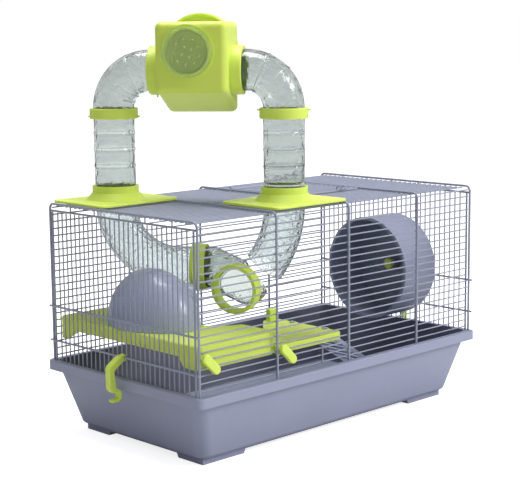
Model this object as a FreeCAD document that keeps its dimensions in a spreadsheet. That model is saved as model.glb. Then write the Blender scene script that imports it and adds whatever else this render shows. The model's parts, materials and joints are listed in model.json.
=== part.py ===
"""Hamster cage: a plastic tray, a wire top and a tube run with a nest box above the roof.

Units are millimetres. X runs along the cage (length), Y across it (the front is -Y) and Z up.
The origin is on the floor, under the middle of the tray.
"""
import FreeCAD, Part
import math
import os
import re

import Sketcher
from FreeCAD import Placement, Rotation, Vector

# --- Driving dimensions ------------------------------------------------------------------------

SIZES = {
    # Tray.
    "tray_height": 91.5,        # floor to the top of the rim
    "rim_overhang": 6.0,        # rim beyond the wire top, on every side
    "skirt_height": 12.0,
    "skirt_wall": 2.5,
    "skirt_corner": 9.0,        # corner radius of the rim
    "plinth_level": 9.0,        # bottom edge of the sloping wall
    "foot_height": 5.5,
    "tray_wall": 2.6,
    "tray_floor": 3.0,
    "bottom_length": 457.0,     # tray at the bottom edge of the sloping wall
    "bottom_width": 237.0,
    "throat_length": 501.0,     # outside of the sloping wall where it meets the rim
    "throat_width": 281.0,
    "tray_corner": 16.0,
    "foot_length": 66.0,
    "foot_width": 44.0,
    "foot_inset": 8.0,          # feet in from the bottom edge of the sloping wall
    # Wire top.
    "cage_length": 500.0,
    "cage_width": 280.0,
    "wire_height": 201.5,
    "thick_wire": 3.0,
    "rail_wire": 2.6,
    "thin_wire": 1.8,
    "wire_pitch": 9.0,
    "end_pitch": 8.7,
    "hoop_bend": 7.0,
    "low_rail": 26.0,           # heights above the rim
    "high_rail": 70.0,
    "first_wire": 6.0,
    # Roof door.
    "door_left": 8.0,
    "door_right": 131.0,
    "door_front": -42.0,
    "door_hinge": 85.5,
    "door_wire": 2.4,
    "door_eye": 2.3,            # bend radius of the flap's two eyes
    # Ports in the roof.
    "port_spacing": 214.0,      # between the two tube ports
    "arch_x": -119.5,           # middle of the tube run
    "arch_y": 1.5,
    "arch_turn": -52.9,         # direction of the tube run, degrees about Z
    "plate_length": 126.0,
    "plate_width": 100.0,
    "plate_thickness": 3.0,
    "collar_height": 20.0,
    "collar_radius": 29.0,
    "collar_flare": 38.0,
    # Tubes.
    "tube_radius": 25.5,
    "tube_wall": 1.8,
    "rib_radius": 26.5,
    "rib_width": 1.6,
    "rib_pitch": 20.6,
    "joint_gap": 0.3,           # clearance between parts that slide past each other
    "ring_radius": 30.0,
    "inner_ring_radius": 29.0,
    "ring_height": 13.0,
    "elbow_radius": 46.0,
    "run_level": 455.5,         # centre line of the level tubes at the nest box
    "inner_bend": 80.0,
    "inner_ring_width": 18.0,
    "inner_ring_start": -9.0,   # left end of the ring, from the middle of the run
    "tee_reach": 60.0,          # tee centre along the run from its middle
    "tee_level": 189.5,
    "tee_rise": 13.0,           # degrees of the long right bend that belong to the tee
    "outlet_turn": 202.0,       # direction of the outlet, degrees about Z
    "outlet_reach": 43.5,
    "outlet_radius": 30.5,
    "outlet_depth": 16.5,
    # Nest box.
    "box_width": 89.0,
    "box_depth": 82.0,
    "box_top": 514.5,
    "box_front_bottom": 430.5,
    "box_back_bottom": 399.5,
    "box_wall": 2.4,
    "box_round": 8.0,
    "box_collar_radius": 30.0,
    "box_collar_reach": 58.5,
    "cap_level": 478.5,
    "cap_shift": -4.0,          # window and lid along the run, from the middle of the box
    "cap_radius": 30.5,
    "lid_radius": 47.0,
    "lid_collar_depth": 13.0,
    # Shelves.
    "shelf_wall": 2.2,
    "upper_shelf_top": 148.5,
    "upper_shelf_drop": 28.0,
    "lower_shelf_top": 129.5,
    "lower_shelf_drop": 10.0,
    # House.
    "house_x": -196.0,
    "house_y": 4.0,
    "house_half_length": 68.0,
    "house_half_width": 48.0,
    "house_height": 69.0,
    "house_wall": 2.0,
    # Ladder.
    "ladder_near": -107.0,      # Y of its two rails
    "ladder_far": -50.0,
    "ladder_pivot": -6.5,       # X of its pins
    "ladder_pin": 1.8,
    "ladder_slope": 33.0,
    "ladder_length": 200.0,
    # Wheel.
    "wheel_radius": 71.0,
    "wheel_depth": 65.0,
    "wheel_wall": 2.0,
    "wheel_open": 173.0,        # X of the open side
    "wheel_y": -18.0,
    "wheel_level": 174.5,
    "axle_radius": 4.0,
    "axle_gap": 0.08,
    # Latches and clips.
    "latch_y": -5.0,
    "latch_width": 9.0,
    "clip_length": 32.0,
    "clip_width": 11.0,
    "clip_tilt": 45.0,
}

doc = FreeCAD.newDocument("HamsterCage")
sheet = doc.addObject("Spreadsheet::Sheet", "Sizes")
for row, (alias, number) in enumerate(SIZES.items(), start=1):
    sheet.set(f"A{row}", alias)
    sheet.set(f"B{row}", str(number))
    sheet.setAlias(f"B{row}", alias)
doc.recompute()

NODES = []                     # the finished sub-parts, in the order they are made


# --- Small helpers -----------------------------------------------------------------------------

def size(alias):
    """Number in the sheet's cell."""
    return float(sheet.get(alias))


def formula(text):
    """The expression with every alias pointed at the sheet."""
    def point(match):
        word = match.group(0)
        return f"Sizes.{word}" if word in SIZES else word
    return re.sub(r"[a-z][a-z_]*[a-z]", point, str(text))


def bind(item, **expressions):
    for name, text in expressions.items():
        item.setExpression(name, formula(text))
    return item


def place(item, x=0, y=0, z=0, turn=None):
    """Put an object at x, y, z (expressions), turned by a Rotation."""
    item.Placement = Placement(Vector(0, 0, 0), turn or Rotation())
    for axis, text in (("x", x), ("y", y), ("z", z)):
        item.setExpression(f"Placement.Base.{axis}", formula(text))
    return item


ALONG = {
    "x": Rotation(Vector(0, 1, 0), 90),
    "y": Rotation(Vector(1, 0, 0), -90),
    "z": Rotation(),
}


def box(name, length, width, height, x=0, y=0, z=0, turn=None):
    item = doc.addObject("Part::Box", name)
    bind(item, Length=length, Width=width, Height=height)
    return place(item, x, y, z, turn)


def rod(name, radius, length, x=0, y=0, z=0, along="z"):
    item = doc.addObject("Part::Cylinder", name)
    bind(item, Radius=radius, Height=length)
    turn = ALONG[along] if isinstance(along, str) else along
    return place(item, x, y, z, turn)


def cone(name, low_radius, high_radius, height, x=0, y=0, z=0, turn=None):
    item = doc.addObject("Part::Cone", name)
    bind(item, Radius1=low_radius, Radius2=high_radius, Height=height)
    return place(item, x, y, z, turn)


def bend(name, bend_radius, radius, angle, x=0, y=0, z=0, turn=None):
    """Part of a torus: it starts on local +X and turns about local Z."""
    item = doc.addObject("Part::Torus", name)
    bind(item, Radius1=bend_radius, Radius2=radius, Angle3=angle)
    return place(item, x, y, z, turn)


def fuse(name, *shapes):
    item = doc.addObject("Part::MultiFuse", name)
    item.Shapes = list(shapes)
    return item


def cut(name, base, *tools):
    item = doc.addObject("Part::Cut", name)
    item.Base = base
    item.Tool = tools[0] if len(tools) == 1 else fuse(name + "_tools", *tools)
    return item


def group(name, shapes):
    """Separate solids that share one node."""
    item = doc.addObject("Part::Compound", name)
    item.Links = list(shapes)
    return item


def rounded(name, base, radius, wanted):
    """Fillet the edges of base that wanted(edge) picks."""
    doc.recompute()
    item = doc.addObject("Part::Fillet", name)
    item.Base = base
    edges = [(number, radius, radius)
             for number, edge in enumerate(base.Shape.Edges, start=1) if wanted(edge)]
    item.Edges = edges
    return item


def upright(edge):
    """The edge climbs, straight or slanted."""
    ends = [vertex.Point for vertex in edge.Vertexes]
    return len(ends) == 2 and abs(ends[0].z - ends[1].z) > 1.0


def at_level(level):
    """Test for edges that lie wholly at one height."""
    def test(edge):
        return edge.BoundBox.ZLength < 0.01 and abs(edge.BoundBox.ZMin - level) < 0.01
    return test


def node(item, label):
    """Mark an object as a finished sub-part."""
    item.Label = label
    NODES.append(item)
    return item


def polygon_pad(name, points, depth, plane="XY_Plane", middle=False, drop=0):
    """PartDesign body: a closed outline, each corner held by two bound distances, and a pad."""
    body = doc.addObject("PartDesign::Body", name)
    sketch = body.newObject("Sketcher::SketchObject", name + "_outline")
    base_plane = [item for item in body.Origin.OriginFeatures if item.Role == plane][0]
    sketch.AttachmentSupport = [(base_plane, "")]
    sketch.MapMode = "FlatFace"
    count = len(points)
    start = [Vector(100 * math.cos(2 * math.pi * i / count), 100 * math.sin(2 * math.pi * i / count))
             for i in range(count)]
    for i in range(count):
        sketch.addGeometry(Part.LineSegment(start[i], start[(i + 1) % count]), False)
    for i in range(count):
        sketch.addConstraint(Sketcher.Constraint("Coincident", i, 2, (i + 1) % count, 1))
    for i, (across, up) in enumerate(points):
        for kind, text in (("DistanceX", across), ("DistanceY", up)):
            value = start[i].x if kind == "DistanceX" else start[i].y
            number = sketch.addConstraint(Sketcher.Constraint(kind, -1, 1, i, 1, value))
            sketch.setExpression(f"Constraints[{number}]", formula(text))
    pad = body.newObject("PartDesign::Pad", name + "_pad")
    pad.Profile = sketch
    bind(pad, Length=depth)
    pad.Midplane = middle
    place(body, z=drop)
    return body


# --- Tray --------------------------------------------------------------------------------------

def tapered_block(name, low, high, half_low, half_high, corner):
    """Block from level low to level high whose four walls slope; the slanted edges are rounded.

    half_low and half_high are (half length, half width) expressions.
    """
    wedge = doc.addObject("Part::Wedge", name + "_wedge")
    bind(wedge, Ymin="0", Ymax=f"({high}) - ({low})",
         Xmin=f"-({half_low[0]})", Xmax=half_low[0], Zmin=f"-({half_low[1]})", Zmax=half_low[1],
         X2min=f"-({half_high[0]})", X2max=half_high[0], Z2min=f"-({half_high[1]})",
         Z2max=half_high[1])
    place(wedge, z=low, turn=Rotation(Vector(1, 0, 0), 90))
    return rounded(name, wedge, corner, upright)


def make_tray():
    rim_half = ("cage_length / 2 + rim_overhang", "cage_width / 2 + rim_overhang")
    rim_low = "tray_height - skirt_height"
    rim_block = box("rim_block", f"2 * ({rim_half[0]})", f"2 * ({rim_half[1]})", "skirt_height",
                    f"-({rim_half[0]})", f"-({rim_half[1]})", rim_low)
    rim_round = rounded("rim_round", rim_block, size("skirt_corner"), upright)
    rim = rounded("rim_soft", rim_round, 1.2, at_level(size("tray_height")))
    under = box("rim_under", f"2 * ({rim_half[0]} - skirt_wall)", f"2 * ({rim_half[1]} - skirt_wall)",
                "skirt_height - skirt_wall", f"-({rim_half[0]} - skirt_wall)",
                f"-({rim_half[1]} - skirt_wall)", rim_low)
    under_round = rounded("rim_under_round", under, size("skirt_corner") - size("skirt_wall"), upright)
    skirt = cut("skirt", rim, under_round)
    outer = tapered_block("tub_outside", "plinth_level", "tray_height - skirt_wall / 2",
                          ("bottom_length / 2", "bottom_width / 2"),
                          ("throat_length / 2", "throat_width / 2"), size("tray_corner"))
    outer_soft = rounded("tub_outside_soft", outer, 6.0, at_level(size("plinth_level")))
    inner = tapered_block("tub_inside", "plinth_level + tray_floor", "tray_height + 1",
                          ("bottom_length / 2 - tray_wall", "bottom_width / 2 - tray_wall"),
                          ("throat_length / 2 - tray_wall", "throat_width / 2 - tray_wall"),
                          size("tray_corner") - size("tray_wall"))
    inner_soft = rounded("tub_inside_soft", inner, 4.0,
                         at_level(size("plinth_level") + size("tray_floor")))
    inset = size("foot_inset")
    strip = 3.0
    plinth_outer = box("plinth_outer", f"bottom_length - {2 * inset}", f"bottom_width - {2 * inset}",
                       "plinth_level - foot_height + 0.5", f"-(bottom_length / 2 - {inset})",
                       f"-(bottom_width / 2 - {inset})", "foot_height")
    plinth_round = rounded("plinth_round", plinth_outer, size("tray_corner") - inset, upright)
    plinth_inner = box("plinth_inner", f"bottom_length - {2 * (inset + strip)}",
                       f"bottom_width - {2 * (inset + strip)}", "plinth_level - foot_height",
                       f"-(bottom_length / 2 - {inset + strip})",
                       f"-(bottom_width / 2 - {inset + strip})", "foot_height")
    plinth = cut("plinth", plinth_round, plinth_inner)
    feet = []
    for side_x in (-1, 1):
        for side_y in (-1, 1):
            feet.append(make_foot(side_x, side_y, inset))
    solid = fuse("tray_solid", skirt, outer_soft, plinth, *feet)
    node(cut("base_tray", solid, inner_soft), "base_tray")


def make_foot(side_x, side_y, inset):
    """Corner foot: a block that narrows to the floor on its two inner ends."""
    name = "foot_" + ("right" if side_x > 0 else "left") + ("_back" if side_y > 0 else "_front")
    slant = 5.0
    bury = 0.5
    wedge = doc.addObject("Part::Wedge", name)
    bind(wedge, Ymin="0", Ymax=f"plinth_level + {bury}", Xmin="0", Xmax="foot_length", Zmin="0",
         Zmax="foot_width", X2min=f"{-slant if side_x > 0 else 0}",
         X2max=f"foot_length + {0 if side_x > 0 else slant}", Z2min=f"{0 if side_y > 0 else -slant}",
         Z2max=f"foot_width + {slant if side_y > 0 else 0}")
    corner_x = f"bottom_length / 2 - {inset} - foot_length"
    corner_y = f"bottom_width / 2 - {inset}"
    x = corner_x if side_x > 0 else f"-(bottom_length / 2 - {inset})"
    y = corner_y if side_y > 0 else f"-({corner_y} - foot_width)"
    place(wedge, x, y, 0, Rotation(Vector(1, 0, 0), 90))
    return wedge


# --- Wire top ----------------------------------------------------------------------------------

RIM = "tray_height"
ROOF = "tray_height + wire_height"
HOOP_PLANES = (
    "-(cage_length / 2 - thick_wire / 2)",
    "-124",
    "3",
    "136",
    "cage_length / 2 - thick_wire / 2",
)


def make_hoops():
    """Five upside-down U wires, bent from thick wire."""
    leg = "(cage_width - thick_wire) / 2"
    middle = f"{ROOF} - thick_wire / 2"
    for number, plane in enumerate(HOOP_PLANES, start=1):
        name = f"hoop_{number}"
        pieces = []
        for side, word in ((-1, "front"), (1, "back")):
            pieces.append(rod(f"{name}_{word}_leg", "thick_wire / 2",
                              "wire_height - thick_wire / 2 - hoop_bend", plane, f"{side} * {leg}", RIM))
            turn = Rotation(Vector(0, 1, 0), Vector(0, 0, 1), Vector(1, 0, 0), "XYZ")
            if side < 0:
                turn = Rotation(Vector(0, -1, 0), Vector(0, 0, 1), Vector(-1, 0, 0), "XYZ")
            pieces.append(bend(f"{name}_{word}_bend", "hoop_bend", "thick_wire / 2", "90",
                               plane, f"{side} * ({leg} - hoop_bend)", f"{middle} - hoop_bend", turn))
        pieces.append(rod(f"{name}_top", "thick_wire / 2", f"2 * ({leg} - hoop_bend)", plane,
                          f"-({leg} - hoop_bend)", middle, "y"))
        node(fuse(name, *pieces), name)


def wire_levels():
    """Heights of the lengthwise wires of the front and back."""
    level = size("tray_height") + size("first_wire")
    top = size("tray_height") + size("wire_height") - size("thick_wire") - size("thin_wire")
    levels = []
    while level < top:
        levels.append(level)
        level += size("wire_pitch")
    return levels


def make_long_panels():
    """Lengthwise wires on the front and the back, inside the hoops."""
    reach = "cage_length / 2 - thick_wire - 0.2"
    count = len(wire_levels())
    for word, side in (("front", -1), ("back", 1)):
        across = f"{side} * (cage_width / 2 - thick_wire - thin_wire / 2)"
        wires = [rod(f"{word}_wire_{i + 1}", "thin_wire / 2", f"2 * ({reach})", f"-({reach})", across,
                     f"{RIM} + first_wire + {i} * wire_pitch", "x") for i in range(count)]
        node(group(f"{word}_wires", wires), f"{word}_wires")
    spacer = rod("front_spacer_wire", "thin_wire / 2", "2 * wire_pitch + 2", -45,
                 "-(cage_width / 2 - thick_wire + thin_wire / 2)", f"{RIM} + first_wire - 1")
    node(spacer, "front_spacer_wire")


def port_centres():
    """X and Y of the two tube ports."""
    turn = math.radians(size("arch_turn"))
    half = size("port_spacing") / 2
    return [(size("arch_x") + side * half * math.cos(turn), size("arch_y") + side * half * math.sin(turn))
            for side in (-1, 1)]


def roof_gaps(across):
    """Stretches of X left open in the roof wire at this Y."""
    hole = size("collar_radius") + 2.0
    gaps = [(x - hole, x + hole) for x, y in port_centres() if abs(across - y) < hole]
    if size("door_front") + 8 < across < size("door_hinge") - 8:
        gaps.append((size("door_left") + 8, size("door_right") - 8))
    return sorted(gaps)


def make_roof():
    """Lengthwise roof wires, stopped at the tube ports and the door, with a border wire there."""
    level = f"{ROOF} - thick_wire - thin_wire / 2"
    under = f"{level} - thin_wire"
    reach = size("cage_length") / 2 - size("thick_wire") - 0.2
    pitch = size("wire_pitch")
    half_count = int((size("cage_width") / 2 - size("thick_wire") - size("hoop_bend")) // pitch)
    wires = []
    for i in range(-half_count, half_count + 1):
        start = -reach
        for low, high in roof_gaps(i * pitch) + [(reach, reach)]:
            wires.append(rod(f"roof_wire_{len(wires) + 1}", "thin_wire / 2", low - start, start,
                             f"{i} * wire_pitch", level, "x"))
            start = high
    hole = size("collar_radius") + 2.0
    for x, y in port_centres():
        for side in (-1, 1):
            wires.append(rod(f"port_border_{len(wires) + 1}", "thin_wire / 2", 2 * hole + pitch,
                             x + side * (hole + 1.2), y - hole - pitch / 2, under, "y"))
    for x in ("door_left + 6.8", "door_right - 6.8"):
        wires.append(rod(f"door_border_{len(wires) + 1}", "thin_wire / 2", "door_hinge - door_front - 6",
                         x, "door_front + 2", under, "y"))
    node(group("roof_wires", wires), "roof_wires")


def make_ends():
    """Upright wires of the two ends, and the thick frame and rails that stiffen them."""
    pitch = size("end_pitch")
    half_count = int((size("cage_width") / 2 - 10) // pitch)
    for word, side in (("left", -1), ("right", 1)):
        plane = f"{side} * (cage_length / 2 - thin_wire / 2 - 0.1)"
        wires = [rod(f"{word}_end_wire_{i + half_count + 1}", "thin_wire / 2", "wire_height - 12", plane,
                     f"{i} * end_pitch", f"{RIM} + 0.3") for i in range(-half_count, half_count + 1)]
        node(group(f"{word}_end_wires", wires), f"{word}_end_wires")
        rail_plane = f"{side} * (cage_length / 2 + rail_wire / 2)"
        rails = [rod(f"{word}_rail_{name}", "rail_wire / 2", "cage_width + 3", rail_plane,
                     "-(cage_width / 2 + 1.5)", f"{RIM} + {level}", "y")
                 for name, level in (("low", "low_rail"), ("high", "high_rail"))]
        rails.append(rod(f"{word}_rail_top", "rail_wire / 2", "cage_width - 2 * thick_wire - 1",
                         f"{side} * (cage_length / 2 - thick_wire / 2)",
                         "-(cage_width / 2 - thick_wire - 0.5)", f"{RIM} + wire_height - 10.2", "y"))
        node(group(f"{word}_end_rails", rails), f"{word}_end_rails")
        posts = [rod(f"{word}_post_{name}", "rail_wire / 2", "wire_height - 12", plane, y, f"{RIM} + 0.3")
                 for name, y in (("front", "-(cage_width / 2 - 7)"), ("back", "cage_width / 2 - 7"))]
        posts += [rod(f"{word}_tie_{i + 3}", "thin_wire / 2", "5.8",
                      f"{side} * (cage_length / 2 - thick_wire / 2)", f"{i} * 48 - 0",
                      f"{RIM} + wire_height - 8.9") for i in range(-2, 3)]
        node(group(f"{word}_end_posts", posts), f"{word}_end_posts")


def make_roof_door():
    """Wire flap in the roof: a bent frame with two eyes on a hinge wire, bars and a spring catch."""
    level = f"{ROOF} - thick_wire + 0.3 + door_wire / 2"
    sides = {"left": "door_left + 4", "right": "door_right - 4"}
    frame = [rod(f"door_side_{word}", "door_wire / 2", "door_hinge - door_front - door_eye", x,
                 "door_front", level, "y") for word, x in sides.items()]
    frame.append(rod("door_front_bar", "door_wire / 2", "door_right - door_left - 8",
                     "door_left + 4", "door_front", level, "x"))
    frame.append(rod("door_back_bar", "door_wire / 2", "door_right - door_left - 8",
                     "door_left + 4", "door_hinge - 8", level, "x"))
    upright_ring = Rotation(Vector(0, 1, 0), 90)
    for word, x in sides.items():
        frame.append(bend(f"door_eye_{word}", "door_eye", "thin_wire / 2", "360", x, "door_hinge", level,
                          upright_ring))
    node(fuse("roof_door_frame", *frame), "roof_door_frame")
    count = int((size("door_hinge") - size("door_front") - 12) // size("wire_pitch"))
    bars = [rod(f"door_bar_{i + 1}", "thin_wire / 2", "door_right - door_left - 8 - door_wire",
                "door_left + 4 + door_wire / 2", f"door_front + {i + 1} * wire_pitch", level, "x")
            for i in range(count)]
    node(group("roof_door_bars", bars), "roof_door_bars")
    start, end = (f"({plane})" for plane in HOOP_PLANES[2:4])
    pin = rod("roof_door_hinge_wire", "door_eye - thin_wire / 2 - joint_gap",
              f"{end} - {start} - thick_wire", f"{start} + thick_wire / 2", "door_hinge",
              f"{ROOF} - thick_wire / 2", "x")
    node(pin, "roof_door_hinge_wire")
    make_door_catch(level)


def make_door_catch(level):
    """Two sprung loops of wire on the front bar of the flap."""
    loops = []
    left, right, loop = 89.0, 99.0, 3.4
    middle_y = "door_front - 0.6"
    middle_z = f"{level} + 2.9"
    for i, x in enumerate((left, right)):
        loops.append(bend(f"catch_loop_{i + 1}", loop, "thin_wire / 2", "300", x, middle_y, middle_z,
                          Rotation(Vector(0, 1, 0), 90)))
    loops.append(rod("catch_bridge", "thin_wire / 2", right - left, left, f"{middle_y} - {loop}",
                     middle_z, "x"))
    node(fuse("roof_door_catch", *loops), "roof_door_catch")


# --- Tube run above the roof -------------------------------------------------------------------
# Everything here is made about the middle of the run: local X runs from the left port to the
# right one and local -Y faces the front. on_run() then turns it into place.

SIDES = (("left", -1), ("right", 1))


def on_run(item):
    return place(item, "arch_x", "arch_y", 0, Rotation(Vector(0, 0, 1), size("arch_turn")))


def port(side):
    """X and Y expressions of a port in the cage's frame."""
    half = f"{side} * port_spacing / 2"
    return f"arch_x + {half} * cos(arch_turn)", f"arch_y + {half} * sin(arch_turn)"


def make_port_plates():
    """Rounded plates on the roof with a flared collar for the tube."""
    for word, side in SIDES:
        x, y = port(side)
        slab = box(f"{word}_plate_slab", "plate_length", "plate_width", "plate_thickness",
                   f"{x} - plate_length / 2", f"{y} - plate_width / 2", ROOF)
        slab_round = rounded(f"{word}_plate_round", slab, 9.0, upright)
        slab_soft = rounded(f"{word}_plate_soft", slab_round, 1.0,
                            at_level(size("tray_height") + size("wire_height") + size("plate_thickness")))
        flare = cone(f"{word}_plate_flare", "collar_flare", "collar_radius", "collar_height / 2",
                     x, y, f"{ROOF} + 2")
        collar = rod(f"{word}_plate_collar", "collar_radius", "collar_height", x, y, ROOF)
        bore = rod(f"{word}_plate_bore", "tube_radius + joint_gap", "collar_height + 4", x, y,
                   f"{ROOF} - 2")
        solid = fuse(f"{word}_plate_solid", slab_soft, flare, collar)
        node(cut(f"{word}_port_plate", solid, bore), f"{word}_port_plate")


def elbow_turn(side):
    """Rotation that starts a bend on the outer side of the run and turns it up to the middle."""
    return Rotation(Vector(side, 0, 0), Vector(0, 0, 1), Vector(0, -side, 0), "XYZ")


def drop_turn(side, lean=0):
    """The same, turning down below the roof; lean starts it further round, in degrees."""
    angle = math.radians(lean)
    first = Vector(side * math.cos(angle), 0, -math.sin(angle))
    second = Vector(-side * math.sin(angle), 0, -math.cos(angle))
    return Rotation(first, second, first.cross(second), "XYZ")


def make_upper_tubes():
    low = f"{ROOF} + plate_thickness + 1"
    ring_low = "run_level - elbow_radius - ring_height"
    joint = "run_level - elbow_radius - ring_height / 2"
    for word, side in SIDES:
        x = f"{side} * port_spacing / 2"
        outside = [rod(f"{word}_tube_outside", "tube_radius", f"{joint} - ({low})", x, 0, low)]
        for i in range(4):
            outside.append(rod(f"{word}_tube_rib_{i + 1}", "rib_radius", "rib_width", x, 0,
                               f"{ring_low} - {i + 1} * rib_pitch + 2"))
        outside = outside[:-1] if side < 0 else outside
        bore = rod(f"{word}_tube_bore", "tube_radius - tube_wall", f"{joint} - ({low}) + 4", x, 0,
                   f"{low} - 2")
        solid = fuse(f"{word}_tube_solid", *outside)
        node(on_run(cut(f"{word}_upper_tube", solid, bore)), f"{word}_upper_tube")
        make_joint_ring(word, side, x, ring_low)
        make_elbow(word, side, x, joint)


def make_joint_ring(word, side, x, ring_low):
    """Ring over the joint of tube and elbow, with two small pegs to turn it by."""
    barrel = rod(f"{word}_ring_barrel", "ring_radius", "ring_height", x, 0, ring_low)
    barrel_soft = rounded(f"{word}_ring_soft", barrel, 0.8, lambda edge: edge.BoundBox.ZLength < 0.01)
    peg_level = f"{ring_low} + 2.5" if side < 0 else f"{ring_low} + ring_height - 2.5"
    peg = rod(f"{word}_ring_pegs", 1.1, "2 * ring_radius + 6", f"{x} - ring_radius - 3", 0, peg_level, "x")
    solid = fuse(f"{word}_ring_solid", barrel_soft, peg)
    bore = rod(f"{word}_ring_bore", "tube_radius + 0.1", "ring_height + 4", x, 0, f"{ring_low} - 2")
    node(on_run(cut(f"{word}_joint_ring", solid, bore)), f"{word}_joint_ring")


def make_elbow(word, side, x, joint):
    """Quarter bend from the joint ring to the nest box."""
    centre_x = f"{side} * (port_spacing / 2 - elbow_radius)"
    centre_z = "run_level - elbow_radius"
    inner_end = "box_collar_reach - 10"
    parts = {}
    for skin, radius, extra in (("outside", "tube_radius", 0), ("bore", "tube_radius - tube_wall", 1)):
        level_length = f"port_spacing / 2 - elbow_radius - ({inner_end}) + {extra}"
        level_start = f"{inner_end} - {extra}" if side > 0 else f"-(port_spacing / 2 - elbow_radius)"
        parts[skin] = [
            rod(f"{word}_elbow_{skin}_low", radius, f"{centre_z} - ({joint}) + {extra}", x, 0,
                f"{joint} - {extra}"),
            bend(f"{word}_elbow_{skin}_bend", "elbow_radius", radius, "90", centre_x, 0, centre_z,
                 elbow_turn(side)),
            rod(f"{word}_elbow_{skin}_level", radius, level_length, level_start, 0, "run_level", "x"),
        ]
    for i, lean in enumerate((20, 43, 66)):
        angle = math.radians(lean)
        first = Vector(side * math.cos(angle), 0, math.sin(angle))
        second = Vector(-side * math.sin(angle), 0, math.cos(angle))
        turn = Rotation(first, second, first.cross(second), "XYZ")
        parts["outside"].append(bend(f"{word}_elbow_rib_{i + 1}", "elbow_radius", "rib_radius", "2",
                                     centre_x, 0, centre_z, turn))
    outside = fuse(f"{word}_elbow_outside", *parts["outside"])
    bore = fuse(f"{word}_elbow_bore", *parts["bore"])
    node(on_run(cut(f"{word}_elbow", outside, bore)), f"{word}_elbow")


# --- Nest box ----------------------------------------------------------------------------------

def box_block(name, inset, corner):
    """The box's rounded block, inset on every side; its floor slopes down to the back."""
    half = f"(box_depth / 2 - {inset})"
    points = [
        (f"-{half}", f"box_top - {inset}"),
        (f"-{half}", f"box_front_bottom + {inset}"),
        (f"{half} - 3", f"box_back_bottom + {inset}"),
        (half, f"box_top - {inset}"),
    ]
    body = polygon_pad(name, points, f"box_width - 2 * {inset}", "YZ_Plane", middle=True)
    return rounded(name + "_soft", body, corner, lambda edge: True)


def make_nest_box():
    shell = box_block("nest_box_block", "0", size("box_round"))
    room = box_block("nest_box_room", "box_wall", size("box_round") - size("box_wall"))
    reach = "box_collar_reach"
    collars = rod("nest_box_collars", "box_collar_radius", f"2 * {reach}", f"-{reach}", 0, "run_level", "x")
    collars_soft = rounded("nest_box_collars_soft", collars, 1.0, lambda edge: edge.BoundBox.XLength < 0.01)
    pegs = rod("nest_box_pegs", 1.1, "2 * box_collar_radius + 6", -50.5, 0,
               "run_level - box_collar_radius - 3")
    back = "box_depth / 2"
    lid_collar = rod("nest_box_back_collar", "lid_radius", "lid_collar_depth + 3", "cap_shift", f"{back} - 3",
                     "cap_level", "y")
    boss = rod("nest_box_front_boss", "cap_radius + 2.5", 3, "cap_shift", f"-{back} - 0.8", "cap_level", "y")
    solid = fuse("nest_box_solid", shell, collars_soft, pegs, lid_collar, boss)
    level_bore = rod("nest_box_level_bore", "tube_radius + 0.1", f"2 * {reach} + 2", f"-{reach} - 1", 0,
                     "run_level", "x")
    back_hole = rod("nest_box_back_hole", "lid_radius - box_wall", "lid_collar_depth + 5", "cap_shift",
                    f"{back} - 4", "cap_level", "y")
    front_hole = rod("nest_box_front_hole", "tube_radius + 0.7", 10, "cap_shift", f"-{back} - 4",
                     "cap_level", "y")
    node(on_run(cut("nest_box", solid, room, level_bore, back_hole, front_hole)), "nest_box")
    make_window_cap()
    make_back_lid()


def make_window_cap():
    """Clear cap pushed into the front of the box: barrel, flange, rim and a dimpled pane."""
    face = "-box_depth / 2 - 0.8 - joint_gap"
    flange = rod("cap_flange", "cap_radius", 2.6, "cap_shift", f"{face} - 2.6", "cap_level", "y")
    barrel = rod("cap_barrel", "cap_radius - 1.8", 9, "cap_shift", f"{face} - 9", "cap_level", "y")
    rim = rod("cap_rim", "cap_radius - 0.6", 2, "cap_shift", f"{face} - 9.6", "cap_level", "y")
    plug = rod("cap_plug", "tube_radius + 0.3", 7, "cap_shift", f"{face} - 2", "cap_level", "y")
    solid = fuse("cap_solid", flange, barrel, rim, plug)
    mouth = rod("cap_mouth", "cap_radius - 3.6", 4.4, "cap_shift", f"{face} - 10", "cap_level", "y")
    hollow = rod("cap_hollow", "tube_radius - 1.4", 14, "cap_shift", f"{face} - 4", "cap_level", "y")
    blank = cut("cap_blank", solid, mouth, hollow)
    dimples = []
    for ring, count, radius in ((1, 4, 6.5), (2, 9, 16.0)):
        for i in range(count):
            angle = 2 * math.pi * (i + 0.3 * ring) / count
            dimples.append(cone(f"cap_dimple_{ring}_{i + 1}", 1.9, 0.9, 1.6,
                                f"cap_shift + {radius * math.cos(angle):.3f}",
                                f"{face} - 5.5", f"cap_level + {radius * math.sin(angle):.3f}",
                                Rotation(Vector(1, 0, 0), 90)))
    node(on_run(fuse("window_cap", blank, *dimples)), "window_cap")


def make_back_lid():
    """Round lid that closes the back of the nest box."""
    face = "box_depth / 2 + lid_collar_depth + joint_gap"
    disc = rod("lid_disc", "lid_radius", 2.6, "cap_shift", face, "cap_level", "y")
    disc_soft = rounded("lid_disc_soft", disc, 0.8, lambda edge: edge.BoundBox.YLength < 0.01)
    plug = rod("lid_plug", "lid_radius - box_wall - joint_gap", 6, "cap_shift", f"{face} - 5",
               "cap_level", "y")
    knob = rod("lid_knob", 9, 6, "cap_shift", f"{face} + 1", "cap_level", "y")
    knob_soft = rounded("lid_knob_soft", knob, 1.5, lambda edge: edge.BoundBox.YLength < 0.01)
    solid = fuse("lid_solid", disc_soft, plug, knob_soft)
    hollow = rod("lid_hollow", "lid_radius - box_wall - joint_gap - 2", 6, "cap_shift", f"{face} - 6",
                 "cap_level", "y")
    node(on_run(cut("nest_box_lid", solid, hollow)), "nest_box_lid")


# --- Tube run under the roof -------------------------------------------------------------------

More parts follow.
